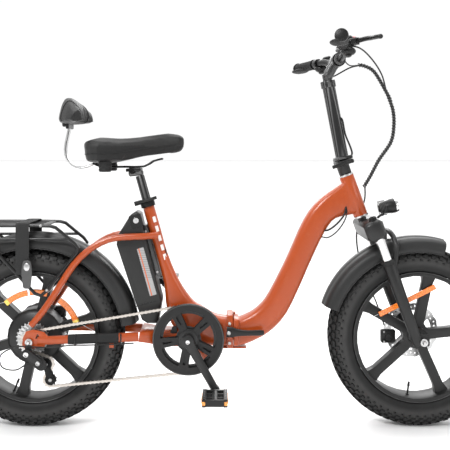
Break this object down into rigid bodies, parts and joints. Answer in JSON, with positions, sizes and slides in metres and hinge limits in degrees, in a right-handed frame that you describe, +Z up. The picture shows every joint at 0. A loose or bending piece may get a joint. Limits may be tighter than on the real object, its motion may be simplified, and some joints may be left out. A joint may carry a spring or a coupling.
{
  "type": "folding bicycle",
  "caption": "Step-through folding fat-tyre electric bicycle with hinged frame and stem, cast wheels, suspension fork, rear rack, fenders, sprung saddle post and backrest.",
  "frame": {"origin": "on the ground midway between the wheels, on the bicycle's middle plane", "axes": "+X forward, +Y to the rider's left, +Z up"},
  "size_m": [1.7908, 0.6684, 1.2358],
  "materials": {
    "frame_paint": "satin orange paint",
    "black_alloy": "black anodised",
    "bright_metal": "bright",
    "dark_plastic": "dark grey matte",
    "tyre_rubber": "matte black",
    "grip_rubber": "matte black",
    "seat_cover": "black synthetic leather",
    "webbing": "woven black",
    "grey_alloy": "dark grey anodised",
    "cable_jacket": "spiral-wrapped black",
    "red_plastic": "gloss red"
  },
  "bodies": {
    "rear_frame": {"rear_frame": "frame_paint", "right_chainstay": "frame_paint", "left_chainstay": "frame_paint", "right_seatstay": "frame_paint", "left_seatstay": "frame_paint", "seat_collar": "black_alloy", "rear_fender": "dark_plastic", "rack_right": "black_alloy", "rack_left": "black_alloy", "rack_deck": "black_alloy", "rack_strap": "webbing", "battery_rail": "bright_metal", "rear_caliper": "black_alloy", "derailleur_body": "black_alloy", "chain": "bright_metal", "rear_axle": "bright_metal"},
    "battery": {"battery_case": "dark_plastic"},
    "battery_lock": {"battery_lock": "bright_metal"},
    "seat": {"seatpost": "black_alloy", "saddle_rails": "bright_metal", "saddle": "seat_cover", "backrest_strut": "bright_metal", "backrest_pad": "seat_cover"},
    "seat_lever": {"seat_lever": "dark_plastic"},
    "rear_wheel": {"rear_tyre": "tyre_rubber", "rear_wheel": "black_alloy", "rear_rotor": "bright_metal"},
    "cassette": {"cassette": "bright_metal"},
    "derailleur_cage": {"derailleur_cage": "black_alloy"},
    "crank": {"crank_axle": "bright_metal", "chainring": "bright_metal", "chain_guard": "dark_plastic", "right_crank": "black_alloy", "left_crank": "black_alloy"},
    "right_pedal": {"right_pedal": "dark_plastic"},
    "left_pedal": {"left_pedal": "dark_plastic"},
    "front_frame": {"front_frame": "frame_paint"},
    "hinge_lever": {"hinge_lever": "dark_plastic"},
    "fork": {"fork_crown": "black_alloy", "front_fender": "dark_plastic", "cable_bundle": "cable_jacket", "stem_base": "black_alloy"},
    "headlight": {"headlight": "dark_plastic"},
    "fork_lowers": {"fork_lowers": "black_alloy", "front_caliper": "black_alloy"},
    "front_wheel": {"front_tyre": "tyre_rubber", "front_wheel": "black_alloy", "front_rotor": "bright_metal"},
    "stem_lever": {"stem_lever": "dark_plastic"},
    "handlepost": {"handlepost": "grey_alloy"},
    "handlebar": {"riser": "black_alloy", "handlebar": "black_alloy", "right_grip": "grip_rubber", "left_grip": "grip_rubber", "right_brake_body": "dark_plastic", "left_brake_body": "dark_plastic", "display": "dark_plastic"},
    "right_brake_lever": {"right_brake_lever": "black_alloy"},
    "left_brake_lever": {"left_brake_lever": "black_alloy"},
    "horn_button": {"horn_button": "red_plastic"}
  },
  "joints": [
    {"name": "main_fold", "type": "hinge", "parent": "rear_frame", "child": "front_frame", "pos_m": [0.022, 0.056, 0.302], "axis": [0, 0, 1], "range_deg": [0, 150]},
    {"name": "hinge_lever_swing", "type": "hinge", "parent": "rear_frame", "child": "hinge_lever", "pos_m": [0.008, -0.054, 0.305], "axis": [0, 0, -1], "range_deg": [0, 100]},
    {"name": "steering", "type": "hinge", "parent": "front_frame", "child": "fork", "pos_m": [0.386, 0, 0.8007], "axis": [-0.342, 0, 0.9397], "range_deg": [-45, 45]},
    {"name": "fork_travel", "type": "slide", "parent": "fork", "child": "fork_lowers", "axis": [-0.342, 0, 0.9397], "range_m": [0, 0.025], "stiffness_N_per_m": 8000, "springref_m": -0.03},
    {"name": "front_wheel_spin", "type": "hinge", "parent": "fork_lowers", "child": "front_wheel", "pos_m": [0.611, 0, 0.28441], "axis": [0, 1, 0], "continuous": true},
    {"name": "rear_wheel_spin", "type": "hinge", "parent": "rear_frame", "child": "rear_wheel", "pos_m": [-0.611, 0, 0.28441], "axis": [0, 1, 0], "continuous": true},
    {"name": "crank_spin", "type": "hinge", "parent": "rear_frame", "child": "crank", "pos_m": [-0.119, 0, 0.286], "axis": [0, 1, 0], "continuous": true},
    {"name": "cassette_spin", "type": "hinge", "parent": "rear_frame", "child": "cassette", "pos_m": [-0.611, 0, 0.28441], "axis": [0, 1, 0], "continuous": true},
    {"name": "right_pedal_spin", "type": "hinge", "parent": "crank", "child": "right_pedal", "pos_m": [-0.034, -0.172, 0.13878], "axis": [0, 1, 0], "continuous": true},
    {"name": "left_pedal_spin", "type": "hinge", "parent": "crank", "child": "left_pedal", "pos_m": [-0.204, 0.172, 0.43322], "axis": [0, 1, 0], "continuous": true},
    {"name": "derailleur_swing", "type": "hinge", "parent": "rear_frame", "child": "derailleur_cage", "pos_m": [-0.561, -0.0755, 0.212], "axis": [0, 1, 0], "range_deg": [-12, 0], "stiffness_Nm_per_rad": 0.6, "springref_deg": 20.05},
    {"name": "seat_height", "type": "slide", "parent": "rear_frame", "child": "seat", "axis": [-0.2709, 0, 0.9626], "range_m": [-0.06, 0.1]},
    {"name": "seat_lever_swing", "type": "hinge", "parent": "rear_frame", "child": "seat_lever", "pos_m": [-0.288, -0.019, 0.7087], "axis": [0.2709, 0, -0.9626], "range_deg": [0, 120]},
    {"name": "battery_slide", "type": "slide", "parent": "rear_frame", "child": "battery", "axis": [-0.2709, 0, 0.9626], "range_m": [0, 0.01]},
    {"name": "lock_turn", "type": "hinge", "parent": "battery", "child": "battery_lock", "pos_m": [-0.286, -0.042, 0.656], "axis": [0, -1, 0], "range_deg": [0, 90]},
    {"name": "headlight_tilt", "type": "hinge", "parent": "fork", "child": "headlight", "pos_m": [0.48758, 0, 0.66049], "axis": [0, 1, 0], "range_deg": [-15, 15]},
    {"name": "stem_fold", "type": "hinge", "parent": "fork", "child": "handlepost", "pos_m": [0.37506, 0.0346, 0.84657], "axis": [0.9792, 0.086, 0.1838], "range_deg": [-110, 0]},
    {"name": "stem_lever_swing", "type": "hinge", "parent": "fork", "child": "stem_lever", "pos_m": [0.39549, -0.03252, 0.84529], "axis": [-0.1856, 0.0141, 0.9825], "range_deg": [0, 90]},
    {"name": "bar_height", "type": "slide", "parent": "handlepost", "child": "handlebar", "axis": [-0.1856, 0.0141, 0.9825], "range_m": [0, 0.05]},
    {"name": "right_brake", "type": "hinge", "parent": "handlebar", "child": "right_brake_lever", "pos_m": [0.39112, -0.17471, 1.20435], "axis": [-0.0012, 0.0298, 0.9996], "range_deg": [0, 12], "stiffness_Nm_per_rad": 2},
    {"name": "left_brake", "type": "hinge", "parent": "handlebar", "child": "left_brake_lever", "pos_m": [0.36057, 0.19687, 1.19324], "axis": [0.0012, -0.0298, -0.9996], "range_deg": [0, 12], "stiffness_Nm_per_rad": 2},
    {"name": "horn_press", "type": "slide", "parent": "handlebar", "child": "horn_button", "axis": [0.0012, -0.0298, -0.9996], "range_m": [0, 0.002], "stiffness_N_per_m": 300}
  ],
  "couplings": [
    {"joint": "cassette_spin", "follows": "crank_spin", "ratio": 3.7143}
  ]
}
